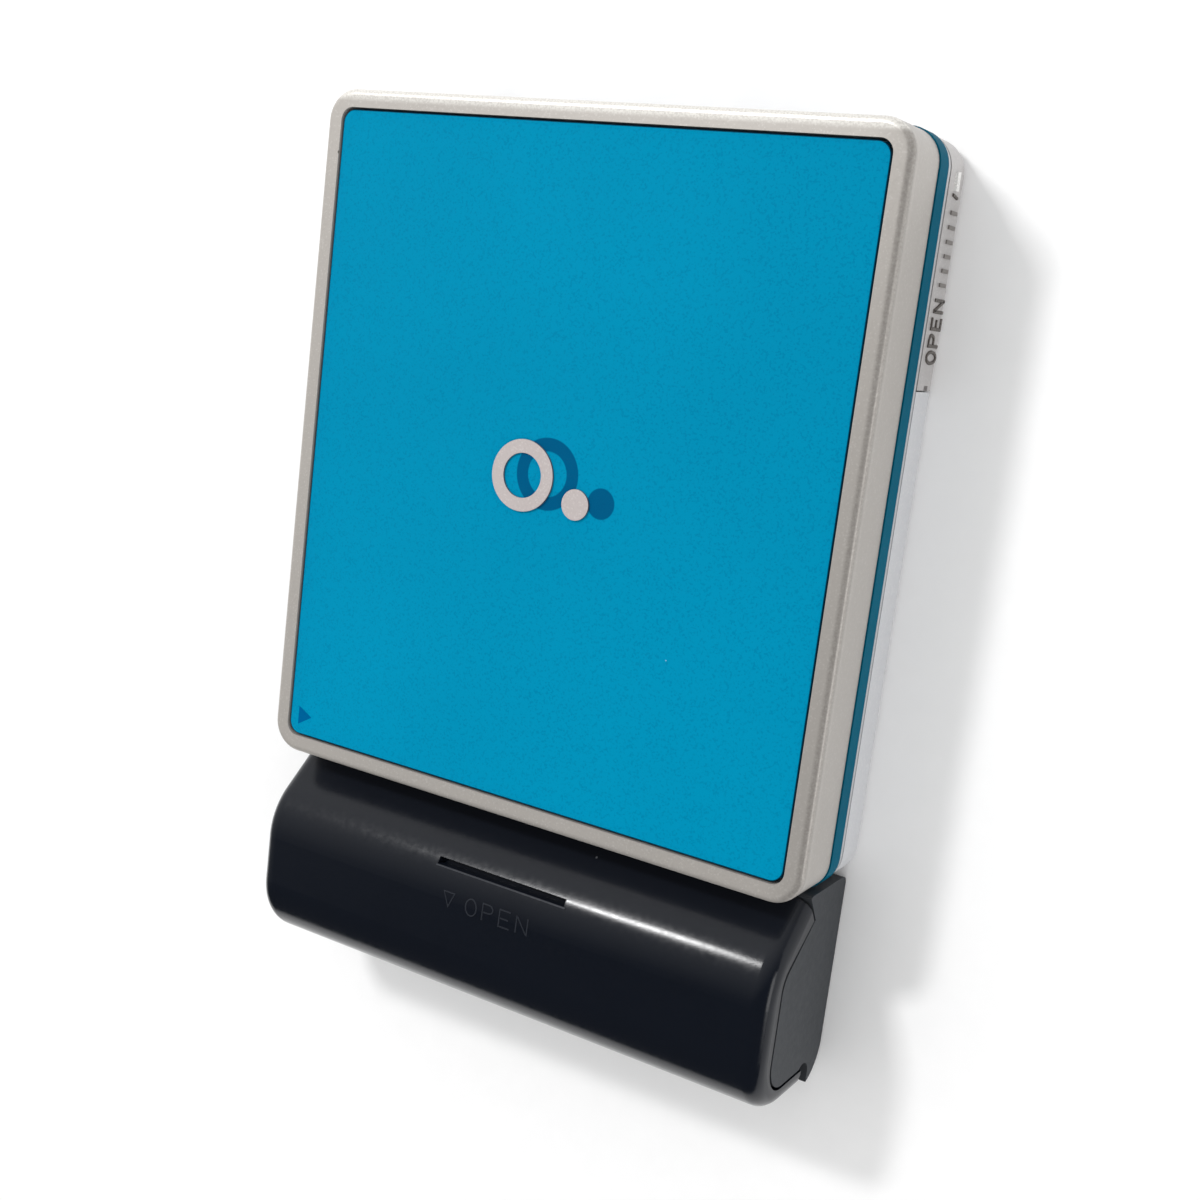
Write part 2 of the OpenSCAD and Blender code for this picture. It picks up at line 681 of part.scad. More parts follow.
module board_chips() {
    z = board_z + board_t;
    color("#26282b") {
        for (c = [[slot_x - 4, -9, 7, 7], [-slot_x, -9, 6, 8], [slot_x - 2, 12, 9, 6], [-slot_x - 2, 8, 5, 5], [slot_x, 24, 5, 7]])
            block([c[0] - c[2] / 2, c[1] - c[3] / 2, z], [c[0] + c[2] / 2, c[1] + c[3] / 2, z + 1]);
        for (i = [0:6])
            block([12 + 2 * i, -14.6, z], [13 + 2 * i, -13.1, z + 0.8]);
    }
}

module flat_cell() {
    x0 = cell_x0;
    color("#3f6f9e") difference() {
        union() {
            translate([x0 + cell_l / 2, (bay_y0 + bay_y1) / 2, floor_t + 0.05])
                plate(cell_l, cell_w, 0.9, 0, cell_t);
            block([x0 + cell_l - eps, bay_y1 - 6, floor_t + 1.6], [x0 + cell_l + 0.3, bay_y1 - 3, floor_t + 4]);
        }
        block([x0 - 1, bay_y0 + 4, floor_t + 1.4], [x0 + 0.3, bay_y0 + 8, floor_t + 4.4]);
    }
}

module cell_contacts() {
    x1 = cell_x1 + 0.3;
    color("#d3b45a") {
        block([x1, bay_y1 - 6.4, floor_t], [x1 + 0.2, bay_y1 - 2.6, shell_h - 0.3]);
        block([-half_w + door_t + 0.72, bay_y0 + 4.4, floor_t + 0.5],
            [-half_w + door_t + 0.97, bay_y0 + 7.6, shell_h - 0.6]);
    }
}

// Door at the left end of the flat cell's bay, turning on an upright pin
module bay_door() {
    color("#b9babb") difference() {
        union() {
            block([-half_w, door_y0, floor_t + 0.15], [-half_w + door_t - 0.25, door_y1, door_top]);
            block([-half_w + 0.3, door_y1 - 1, floor_t + 0.15], [door_pin[0], door_pin[1], shell_h - 0.15]);
            translate([door_pin[0], door_pin[1], floor_t + 0.15]) cylinder(r = 0.75, h = shell_h - floor_t - 0.3);
            for (z = [2.6, 3.4, 4.2])
                block([-half_w - 0.15, door_y0 + 1.5, z], [-half_w + eps, door_y0 + 4.5, z + 0.35]);
        }
        translate([door_pin[0], door_pin[1], -1]) cylinder(r = door_pin_r + run_gap, h = door_top + 3);
    }
}

module door_hinge_pin() {
    color("#d5d6d8") translate([door_pin[0], door_pin[1], floor_t - 0.4])
        cylinder(r = door_pin_r, h = rim_top - floor_t + 0.1);
}

module headphone_jack() {
    color("#2a2b2e") difference() {
        union() {
            rod_y(jack_x, jack_z, half_l - jack_l, half_l, 2.35);
            block([jack_x - 3, half_l - jack_l, jack_z - 1.5], [jack_x + 3, half_l - 1.2, jack_z + 1.5]);
        }
        rod_y(jack_x, jack_z, half_l - jack_l + 0.6, half_l + 1, jack_r);
    }
}

module key_body(x, w) {
    y = key_flange_y - key_flange_t;
    block([x - w / 2, y, key_z], [x + w / 2, half_l + key_proud, key_z + key_h]);
    block([x - w / 2 - 0.5, y, key_z - 0.3], [x + w / 2 + 0.5, key_flange_y, key_z + key_h + 0.3]);
    block([x - 0.8, y - key_nub, key_z + 0.4], [x + 0.8, y + eps, key_z + 1.4]);
}

module play_key() {
    color("#c4c5c6") key_body(play_x, key_w);
}

module stop_key() {
    color("#c4c5c6") key_body(stop_x, key_w);
}

module volume_rocker() {
    y = half_l - shell_wall - 0.8;
    color("#c4c5c6") difference() {
        union() {
            block([rocker_x - rocker_w / 2 + 0.15, y, key_z], [rocker_x + rocker_w / 2 - 0.15, half_l + key_proud, key_z + key_h]);
            translate([rocker_x, y, key_z]) cylinder(r = 0.9, h = key_h);
            for (s = [-1, 1])
                block([rocker_x + s * 4.4 - 0.8, y - 0.6, key_z + 0.4], [rocker_x + s * 4.4 + 0.8, y + eps, key_z + 1.4]);
        }
        translate([rocker_x, y, key_z - 1]) cylinder(r = 0.4, h = key_h + 2);
        block([rocker_x - 1.2, half_l + key_proud - 0.25, key_z - 1], [rocker_x + 1.2, half_l + 2, key_z + key_h + 1]);
    }
}

// Upright pin and push switches behind the keys
module key_switches() {
    z = board_z + board_t;
    color("#3a3c40") {
        for (x = [play_x, stop_x])
            block([x - 1.8, switch_y - 2, z], [x + 1.8, switch_y, z + switch_h]);
        for (s = [-1, 1])
            block([rocker_x + 4.4 * s - 1.2, switch_y - 2, z], [rocker_x + 4.4 * s + 1.2, switch_y, z + switch_h]);
        translate([rocker_x, half_l - shell_wall - 0.8, key_z - 0.6]) cylinder(r = 0.4 - run_gap, h = shell_h - key_z + 0.3);
        block([rocker_x - 0.9, switch_y - 0.4, floor_t], [rocker_x + 0.9, half_l - shell_wall - 0.85, key_z - 0.3]);
    }
}

module hold_knob() {
    y0 = hold_y - hold_l / 2;
    color("#b3b4b5") {
        block([-half_w - 0.4, y0, hold_z - 0.7], [-half_w + shell_wall + 0.3, y0 + hold_l, hold_z + 0.7]);
        block([-half_w + shell_wall + 0.2, y0 - 1, hold_z - 1.3], [-half_w + shell_wall + 0.8, y0 + hold_l + 1, hold_z + 1.3]);
        for (i = [0:3])
            block([-half_w - 0.6, y0 + 0.5 + i * (hold_l - 1.4) / 3, hold_z - 0.7],
                [-half_w - 0.4 + eps, y0 + 0.9 + i * (hold_l - 1.4) / 3, hold_z + 0.7]);
    }
}

// Slide on the right edge that wraps the upper corner
module open_slider() {
    color("#b6b2b1") {
        intersection() {
            round_player() difference() {
                union() {
                    translate([0, back_edge_r]) square([slide_wall, shell_h - 0.1 - back_edge_r]);
                    translate([0, 0.25]) intersection() {
                        square([slide_wall, back_edge_r]);
                        translate([back_edge_r, back_edge_r - 0.25]) circle(r = back_edge_r);
                    }
                }
            }
            difference() {
                block([half_w - corner_r, slide_start, 0], [half_w + 1, half_l + 1, shell_h]);
                block([half_w - 0.35, slide_start - 1, 2.2], [half_w + 1, slide_start + 0.5, 3.4]);
            }
        }
        for (i = [0:5])
            block([half_w - 0.2, slide_start + 10.6 + 1.45 * i, 2], [half_w + 0.18, slide_start + 11 + 1.45 * i, 3.8]);
        block([half_w - slide_back - 0.7, slide_start + 8, shell_h - 0.9],
            [half_w - slide_wall + 0.2, slide_start + 12.8, latch_z]);
    }
}

// Bar that the slide pushes, with a stud over each foot of the lid's tongues
module latch_bar() {
    color("#c9c4b4") {
        block([latch_x - latch_t, hook_y[0] + hook_w, latch_z], [latch_x, slide_start + 13, latch_z + 1.1]);
        for (y = hook_y)
            block([latch_x - latch_t, y + hook_w + 0.2, latch_z + 0.8 + eps], [tongue_x + tongue_t, y + hook_w + foot_l - 0.3, latch_z + 1.4]);
    }
}

module case_nut() {
    color("#c9a54c") difference() {
        rod_y(0, knob_z, -half_l + 0.1, bay_y0 - 0.45, 1.6);
        rod_y(0, knob_z, -half_l - 1, bay_y0 + 1, thread_r + run_gap);
    }
}

module shell_screws() {
    color("#9fa1a4") screw_places() difference() {
        union() {
            translate([0, 0, 0.2]) cylinder(r = screw_head_r, h = 0.7);
            translate([0, 0, 0.5]) cylinder(r = screw_shaft_r, h = shell_h + 0.4);
        }
        for (a = [0, 90])
            rotate([0, 0, a]) translate([-0.7, -0.13, 0]) cube([1.4, 0.26, 0.5]);
    }
}

// Lid wall, bezel and window ledge in one profile
module lid_profile() {
    translate([0, lid_z]) square([lid_wall, ledge_z - lid_z + eps]);
    translate([0, ledge_z]) square([bezel_w, front_z - lid_edge_r - ledge_z]);
    translate([lid_edge_r, ledge_z]) square([bezel_w - lid_edge_r, front_z - ledge_z]);
    translate([lid_edge_r, front_z - lid_edge_r]) circle(r = lid_edge_r);
    translate([0, ledge_z]) square([bezel_w + 1.3, ledge_t]);
}

module lid_frame() {
    color("#beb9b4") difference() {
        union() {
            round_player() lid_profile();
            rod_y(hinge_x, hinge_z, -barrel_end, barrel_end, barrel_r);
            intersection() {
                rod_y(hinge_x, hinge_z, -half_l, half_l, barrel_r);
                round_player() translate([0, hinge_z - skirt_h]) square([band_wall, skirt_h + eps]);
            }
        }
        both_ends() rod_y(hinge_x, hinge_z, ear_y0 - 0.1, ear_y1 + 0.1, groove_r);
        both_ends() rod_y(hinge_x, hinge_z, pin_y0 - 0.2, pin_y1 + 0.2, lid_pin_r + run_gap);
    }
}

module lid_tongues() {
    color("#b2b4b6") for (y = hook_y) {
        block([tongue_x, y, latch_z - 0.1], [tongue_x + tongue_t, y + hook_w, lid_z]);
        block([tongue_x, y + hook_w - eps, latch_z - 0.1], [tongue_x + tongue_t, y + hook_w + foot_l, latch_z + 0.7]);
    }
}

module lid_hinge_pins() {
    color("#d5d6d8") both_ends() rod_y(hinge_x, hinge_z, pin_y0, pin_y1, lid_pin_r);
}

module clear_window() {
    d = bezel_w + window_gap;
    color("#8fd3ea", 0.5) plate(body_w - 2 * d, body_l - 2 * d, window_r, window_z, window_top);
}

module backing_plate() {
    d = bezel_w + 0.1;
    color("#0089b2") plate(body_w - 2 * d, body_l - 2 * d, window_r, backing_z, backing_z + backing_t);
}

// Plain ring and dot
module emblem() {
    color("#b9b5b3") translate([-3.6, -0.6, window_top]) {
        difference() {
            cylinder(r = emblem_d / 2, h = emblem_t);
            translate([0, 0, -1]) cylinder(r = emblem_d / 2 - 1.5, h = emblem_t + 2);
        }
        translate([emblem_d / 2 + 3.2, -2.1, 0]) cylinder(r = 1.7, h = emblem_t);
    }
}

module lid_inner_plate() {
    d = lid_wall + 0.5;
    color("#aeb0b2") difference() {
        plate(body_w - 2 * d, body_l - 2 * d, corner_r - d, inner_plate_z, ledge_z);
        translate([disc_x, 0, inner_plate_z - 1]) cylinder(r = finger_r, h = 3);
        for (x = [2 - slot_x, slot_x - 2])
            translate([x, 0, 0]) plate(10, cartridge_w - 28, 3, inner_plate_z - 1, ledge_z + 1);
        rod_y(hinge_x, hinge_z, -half_l, half_l, barrel_r + 0.3);
    }
}

// Top sheet of the pocket for the cartridge, with its weight-saving slots and finger notch
module disc_holder() {
    color("#c2c4c6") difference() {
        block([holder_x0, -flange_y - sheet_t, holder_top - sheet_t], [holder_x1, flange_y + sheet_t, holder_top]);
        translate([disc_x, 0, holder_top - 1]) cylinder(r = holder_hole_r, h = 2);
        for (x = [-slot_x, slot_x])
            translate([disc_x + x, 0, 0])
                plate(holder_slot_w, cartridge_w - 24, 2.5, holder_top - 1, holder_top + 1);
        translate([holder_x1 + 4, 0, holder_top - 1]) cylinder(r = finger_r, h = 2);
        both_ends() translate([disc_x, flange_y - 7.15, 0]) plate(22, 4, 2, holder_top - 1, holder_top + 1);
    }
}

// Side rails welded under the top sheet, each with its lip and its hinge eye
module holder_rails() {
    color("#b4b6b9") difference() {
        both_ends() {
            block([holder_x0, flange_y, lip_z], [holder_x1, flange_y + sheet_t, holder_top - sheet_t]);
            block([holder_x0 + 0.6, flange_y - lip_w, lip_z], [holder_x1 - 0.6, flange_y + eps, lip_z + sheet_t]);
            rod_y(stud_x, stud_z, flange_y, flange_y + sheet_t, eye_r);
            block([stud_x, flange_y, lip_z], [holder_x0 + 1, flange_y + sheet_t, hinge_z - 0.2]);
        }
        both_ends() rod_y(stud_x, stud_z, flange_y - 1, flange_y + 2, stud_r + run_gap);
    }
}

// Carries a profile, drawn as distance below the player and height, along X
module along_case(x0, x1) {
    translate([x0, -half_l, 0]) rotate([90, 0, 90]) mirror([1, 0, 0])
        linear_extrude(height = x1 - x0) children();
}

// Corners of a shape moved inwards, keeping its sides parallel
function inset_pts(p, k) = [for (i = [0:len(p) - 1])
    let(n = len(p), u = toward(corner_at(p, i), corner_at(p, (i + n - 1) % n)),
        v = toward(corner_at(p, i), corner_at(p, (i + 1) % n)),
        c = corner_at(p, i) + (u + v) / norm(u + v) * k / sin(acos(u * v) / 2))
    [c[0], c[1], max(p[i][2] - k, 0.3)]];

module case_outline(inset) {
    rounded(inset_pts(case_pts, inset));
}

// Everything behind the case lid: end plates, back and floor
module case_back_area(gap) {
    top = case_h - rim_depth - gap;
    rounded([
        [-2, -2, 0], [-2, case_slant_z + 2.4 - gap, 0], [3.45, case_slant_z - 1.6 - gap, 0],
        [8.3 + gap, top, 3], [case_l - 2.4 - gap, top, 4 - gap],
        [case_l - 2.4 - gap, case_hinge[1] + 0.3 - gap, 0], [case_l + 2, case_hinge[1] + 0.3 - gap, 0], [case_l + 2, -2, 0]
    ]);
}

// Skin of the case lid across its width, with its two outer corners rounded, r from the centre of its bend
module case_section(r) {
    translate([r, 0]) rounded([
        [-skin_t, -case_w / 2, 0], [0, -case_w / 2, end_r], [0, case_w / 2, end_r], [-skin_t, case_w / 2, 0]
    ]);
}

// Straight run of the skin from a point, facing an angle
module case_run(at, facing, length) {
    translate([at[0], at[1], 0]) rotate([0, 0, facing]) rotate([90, 0, 0])
        linear_extrude(height = length) case_section(0);
}

// Case lid before its hollow: skin carried over slant, shoulder, front, toe and lower end, round a core
module case_shape() {
    translate([0, -half_l, 0]) rotate([90, 0, 90]) mirror([1, 0, 0]) difference() {
        union() {
            case_run(shoulder_c + shoulder_r * [cos(slant_a), sin(slant_a)] - 12 * slant_dir, slant_a, 12);
            translate(shoulder_c) rotate([0, 0, 90]) rotate_extrude(angle = slant_a - 90) case_section(shoulder_r);
            case_run([shoulder_c[0], case_h], 90, toe_c[0] - shoulder_c[0]);
            translate(toe_c) rotate_extrude(angle = 90) case_section(toe_r);
            case_run([case_l, toe_c[1]], 0, toe_c[1] - case_z - heel_r);
            linear_extrude(height = case_w, center = true) case_outline(skin_t - 0.15);
        }
        translate([case_gap - 20, -1, -case_w]) cube([20, 40, 2 * case_w]);
        translate([0, 0, -case_w]) linear_extrude(height = 2 * case_w) case_back_area(0);
    }
}

// One bracket near each end of the case's hinge
module case_ears(r, extra) {
    for (s = [-1, 1])
        rod_x(-half_l - case_hinge[0], case_hinge[1], s * ear_x - 1 - extra, s * ear_x + 1 + extra, r);
}

module case_lid() {
    color("#1e2128") difference() {
        union() {
            case_shape();
            rod_x(-half_l - case_hinge[0], case_hinge[1], -case_w / 2 + end_r, case_w / 2 - end_r, case_barrel_r);
        }
        along_case(-case_w / 2 + end_t + 0.4, case_w / 2 - end_t - 0.4) difference() {
            case_outline(case_wall);
            translate(case_hinge) circle(r = case_barrel_r + 0.5);
        }
        case_ears(case_barrel_r + 0.15, 0.15);
        rod_x(-half_l - case_hinge[0], case_hinge[1], -case_w, case_w, case_pin_r + run_gap);
        block([-8.8, -half_l - 7.6, case_h - 2], [8.8, -half_l - 6.8, case_h + 1]);
    }
}

module case_body() {
    color("#26282c") difference() {
        union() {
            along_case(-case_w / 2, case_w / 2) intersection() {
                case_outline(0);
                case_back_area(seam_gap);
            }
        }
        along_case(-case_w / 2 + end_t, case_w / 2 - end_t) difference() {
            rounded([
                [case_gap + case_wall, case_z + case_wall, 0.5], [case_gap + case_wall, case_h, 0.5],
                [case_l - 2.4 - case_wall, case_h, 0.5], [case_l - 2.4 - case_wall, case_z + case_wall, 2]
            ]);
            square([knob_y + 2.9, knob_z + knob_r + 1.2]);
        }
        for (s = [-1, 1])
            block([s * (case_w / 4 + 3.4) - case_w / 4 + 3.4 - end_t * s, -half_l - knob_y - 4, case_z + case_wall],
                [s * (case_w / 4 + 3.4) + case_w / 4 - 3.4 - end_t * s, -half_l - case_gap - case_wall, case_h]);
        along_case(-case_w / 2 - 1, case_w / 2 + 1) intersection() {
            union() {
                translate(case_hinge) circle(r = case_barrel_r + 0.15);
                translate([case_hinge[0], case_hinge[1] - case_barrel_r - 0.15]) square(10);
            }
            translate([case_hinge[0] - 5, case_hinge[1] - 5]) square(10);
        }
        block([-knob_r - 0.5, -half_l - knob_y - 2.5, -1], [knob_r + 0.5, -half_l - knob_y + 2.5, knob_z + knob_r + 0.5]);
        rod_y(0, knob_z, -half_l - knob_y, -half_l + 1, thread_r + 0.3);
        for (i = [-1:1]) rod_y(-14 + 2.5 * i, knob_z, -half_l - 3, -half_l + 1, 0.5);
    }
    case_bracket();
}

module case_bracket() {
    color("#26282c") difference() {
        union() {
            case_ears(case_barrel_r, 0);
            for (s = [-1, 1])
                block([s * ear_x - 1, -half_l - case_hinge[0], case_z + 1.2], [s * ear_x + 1, -half_l - case_hinge[0] + 2, case_hinge[1]]);
        }
        rod_x(-half_l - case_hinge[0], case_hinge[1], -case_w, case_w, case_pin_r + 0.02);
    }
}

module case_hinge_pin() {
    color("#c8cacc") for (s = [-1, 1])
        rod_x(-half_l - case_hinge[0], case_hinge[1], s * ear_x - 4, s * ear_x + 4, case_pin_r);
}

module round_cell() {
    y = -half_l - round_cell_c[0];
    z = round_cell_c[1];
    color("#d8b25a") {
        rod_x(y, z, round_cell_x0, round_cell_x0 + round_cell_l - 1.6, round_cell_r);
        rod_x(y, z, round_cell_x0 + round_cell_l - 1.7, round_cell_x0 + round_cell_l, 2.7);
    }
}

// Points of a conical spring's wire along X
function spring_point(a) = let(r = spring_r + 1.6 * a / (360 * spring_turns))
    [spring_x1 - (spring_x1 - spring_x0) * a / (360 * spring_turns),
     -half_l - round_cell_c[0] + r * cos(a), round_cell_c[1] + r * sin(a)];
spring_x1 = round_cell_x0 - spring_wire - 0.02;
spring_x0 = -case_w / 2 + end_t + 0.4 + spring_wire;
spring_step = 45;
spring_gap = min([for (a = [0:spring_step:360 * (spring_turns - 1)])
    norm(spring_point(a + 360) - spring_point(a)) - 2 * spring_wire]);
echo(least_spring_gap = spring_gap);

module coil_spring() {
    n = 360 * spring_turns / spring_step;
    sides = 6;
    pts = [for (i = [0:n], k = [0:sides - 1])
        let(a = i * spring_step, p = spring_point(a), out = [0, cos(a), sin(a)])
        p + spring_wire * (cos(60 * k) * out + sin(60 * k) * [1, 0, 0])];
    color("#c9c9c4") polyhedron(points = pts, faces = concat(
        [[for (k = [0:sides - 1]) k]],
        [[for (k = [0:sides - 1]) n * sides + sides - 1 - k]],
        [for (i = [0:n - 1], k = [0:sides - 1], t = [0, 1])
            let(j = (k + 1) % sides, p = i * sides, q = p + sides)
            t == 0 ? [p + k, q + k, q + j] : [p + k, q + j, p + j]]));
}

module plate_contact() {
    x1 = round_cell_x0 + round_cell_l + 0.02;
    y = -half_l - round_cell_c[0];
    color("#c9c9c4") {
        block([x1, y - 3.5, case_z + case_wall], [x1 + 0.35, y + 3.5, round_cell_c[1] + 4]);
        block([-case_w / 2 + end_t, y - 4.6, case_z + case_wall], [spring_x0 - spring_wire - 0.02, y + 4.6, round_cell_c[1] + 4.4]);
    }
}

module thumb_screw() {
    color("#8a8c90") {
        rod_y(0, knob_z, -half_l - knob_y, bay_y0 - 0.6, thread_r);
        translate([0, -half_l - knob_y - 2, knob_z]) rotate([-90, 0, 0]) linear_extrude(height = 3.6)
            difference() {
                circle(r = knob_r);
                for (i = [0:17])
                    rotate([0, 0, 20 * i]) translate([knob_r, 0]) circle(r = 0.22, $fn = 4);
            }
    }
}

module case_pins() {
    color("#d3b45a") for (i = [-1:1])
        rod_y(-14 + 2.5 * i, knob_z, -half_l - 2.6, -half_l + 0.9, 0.4);
}

back_shell();
mid_frame();
accent_band();
mechanism_deck();
deck_dampers();
spindle_motor();
turntable();
guide_rods();
pickup_sled();
objective_lens();
lead_screw();
motor_pinion();
sled_motor();
circuit_board();
board_chips();
flat_cell();
cell_contacts();
bay_door();
door_hinge_pin();
headphone_jack();
play_key();
stop_key();
volume_rocker();
key_switches();
hold_knob();
open_slider();
latch_bar();
case_nut();
shell_screws();
holder_studs();
lid_frame();
lid_tongues();
lid_hinge_pins();
clear_window();
backing_plate();
emblem();
lid_inner_plate();
disc_holder();
holder_rails();
case_body();
case_lid();
case_hinge_pin();
round_cell();
coil_spring();
plate_contact();
thumb_screw();
case_pins();
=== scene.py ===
"""Looks of a portable minidisc player and its battery case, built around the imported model."""
import math

import bpy
import numpy as np
from mathutils import Matrix, Vector


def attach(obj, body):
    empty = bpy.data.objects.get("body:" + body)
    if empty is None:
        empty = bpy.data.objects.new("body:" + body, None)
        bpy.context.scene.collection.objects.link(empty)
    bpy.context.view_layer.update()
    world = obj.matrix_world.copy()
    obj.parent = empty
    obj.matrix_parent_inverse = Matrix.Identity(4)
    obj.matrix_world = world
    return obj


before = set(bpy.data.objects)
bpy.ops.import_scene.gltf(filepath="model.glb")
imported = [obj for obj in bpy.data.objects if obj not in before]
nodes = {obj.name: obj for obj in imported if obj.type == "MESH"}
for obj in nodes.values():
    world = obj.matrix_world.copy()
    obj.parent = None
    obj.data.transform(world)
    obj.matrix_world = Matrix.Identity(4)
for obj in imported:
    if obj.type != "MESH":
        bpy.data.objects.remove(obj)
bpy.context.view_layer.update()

MM = 0.001
BLACK = (0.0, 0.0, 0.0, 1.0)

# Camera, worked out from the player's corners in the photograph
CAMERA_AT = Vector((0.09159, 0.01860, 0.16215))
VIEW_RIGHT = Vector((0.85046, 0.12170, -0.51177))
VIEW_DOWN = Vector((0.19657, -0.97592, 0.09458))
VIEW_ANGLE = math.radians(41.595)

# Outlines in millimetres: half the width, half the height and the corner's radius
LID_OUTLINE = (36, 39.7, 3.6)
WINDOW_OUTLINE = (33.65, 37.35, 1.5)
WINDOW_FACE = 16

# Painted dark reflection of the emblem in the window's thickness, in millimetres: centres and radii
REFLECTED_RING, RING_INSIDE, RING_OUTSIDE = (-0.5, 0), 2.5, 4
REFLECTED_DOT, DOT_R = (6.7, -2.1), 1.7

# The case's shoulder in millimetres: its arc's centre is below the player's end, above the back
PLAYER_END = -39.7
SHOULDER_BELOW, SHOULDER_HEIGHT, SHOULDER_R = 11.21, 9.1, 8.5

# Flat faces that carry signs: a point in millimetres, the way the signs run and their way up
SLIDE_FACE = ((36, 0, 0), (0, 1, 0), (0, 0, 1))
KEY_FACE = ((0, 40.2, 0), (-1, 0, 0), (0, 0, 1))
LEFT_FACE = ((-36, 0, 0), (0, -1, 0), (0, 0, 1))

FLOOR_HALF, FLOOR_POINTS, FLOOR_DROP = 0.7, 41, 0.00002

# Plain finishes: name, colour, roughness and the nodes that have it
METALS = (
    ("bright steel", (214, 214, 216), 0.18,
     ("guide_rods", "lead_screw", "door_hinge_pin", "lid_hinge_pins", "case_hinge_pin",
      "shell_screws", "case_pins")),
    ("motor steel", (150, 152, 156), 0.3, ("spindle_motor", "sled_motor")),
    ("brass", (212, 172, 96), 0.28, ("motor_pinion", "case_nut", "plate_contact", "coil_spring")),
)
MOULDINGS = (
    ("black rubber", (28, 28, 30), 0.7, ("deck_dampers", "turntable", "key_switches")),
    ("black plastic", (30, 31, 34), 0.45, ("headphone_jack", "board_chips", "hold_knob")),
    ("grey moulding", (84, 86, 90), 0.55, ("pickup_sled", "thumb_screw")),
    ("blue lens", (60, 90, 170), 0.1, ("objective_lens",)),
    ("green board", (26, 82, 58), 0.4, ("circuit_board",)),
    ("blue cell", (40, 70, 130), 0.35, ("flat_cell",)),
    ("round cell", (176, 126, 66), 0.3, ("round_cell",)),
)


def place_camera():
    """A camera looks along its own -Z, with its X to the right and its Y up."""
    data = bpy.data.cameras.new("camera")
    data.sensor_fit = "HORIZONTAL"
    data.angle = VIEW_ANGLE
    data.clip_start = 0.01
    right = VIEW_RIGHT.normalized()
    back = right.cross(-VIEW_DOWN).normalized()
    up = back.cross(right)
    turn = Matrix((right, up, back)).transposed().to_4x4()
    camera = bpy.data.objects.new("camera", data)
    camera.matrix_world = Matrix.Translation(CAMERA_AT) @ turn
    bpy.context.scene.collection.objects.link(camera)
    bpy.context.scene.camera = camera


def srgb(red, green, blue):
    """Colour read as 0 to 255 on a screen, turned into linear light."""
    screen = np.array([red, green, blue]) / 255
    linear = np.where(screen <= 0.04045, screen / 12.92, ((screen + 0.055) / 1.055) ** 2.4)
    return (*linear.tolist(), 1.0)


class Value:
    """A number, vector or colour that a shader works out; operators add its maths nodes."""

    def __init__(self, graph, socket):
        self.graph = graph
        self.socket = socket

    def maths(self, operation, *inputs):
        return self.graph.node("ShaderNodeMath", {"operation": operation}, *inputs)

    def __add__(self, other):
        return self.maths("ADD", self, other)

    def __sub__(self, other):
        return self.maths("SUBTRACT", self, other)

    def __mul__(self, other):
        return self.maths("MULTIPLY", self, other)

    def __rsub__(self, other):
        return self.maths("SUBTRACT", other, self)

    __radd__ = __add__
    __rmul__ = __mul__

    def __abs__(self):
        return self.maths("ABSOLUTE", self)

    def root(self):
        return self.maths("SQRT", self)

    def most(self, other):
        """The larger of the two."""
        return self.maths("MAXIMUM", self, other)

    def least(self, other):
        """The smaller of the two."""
        return self.maths("MINIMUM", self, other)

    def over(self, edge, soft):
        """1 where the value is above the edge and 0 below it, over a soft step."""
        settings = {"interpolation_type": "SMOOTHSTEP"}
        limits = (edge - soft, edge + soft, 0.0, 1.0)
        return self.graph.node("ShaderNodeMapRange", settings, self, *limits)


class Graph:
    """A tree of nodes, and the node in it that the others feed."""

    def __init__(self, tree, target):
        self.tree = tree
        self.target = tree.nodes[target]

    def node(self, kind, settings, *inputs, output=0, named=None):
        """Adds any node: its settings first, then values or links for its inputs."""
        made = self.tree.nodes.new(kind)
        for key, value in settings.items():
            setattr(made, key, value)
        for key, value in [*enumerate(inputs), *(named or {}).items()]:
            if isinstance(value, Value):
                self.tree.links.new(value.socket, made.inputs[key])
            else:
                made.inputs[key].default_value = value
        return Value(self, made.outputs[output])

    def feed(self, socket, value):
        self.tree.links.new(value.socket, self.target.inputs[socket])


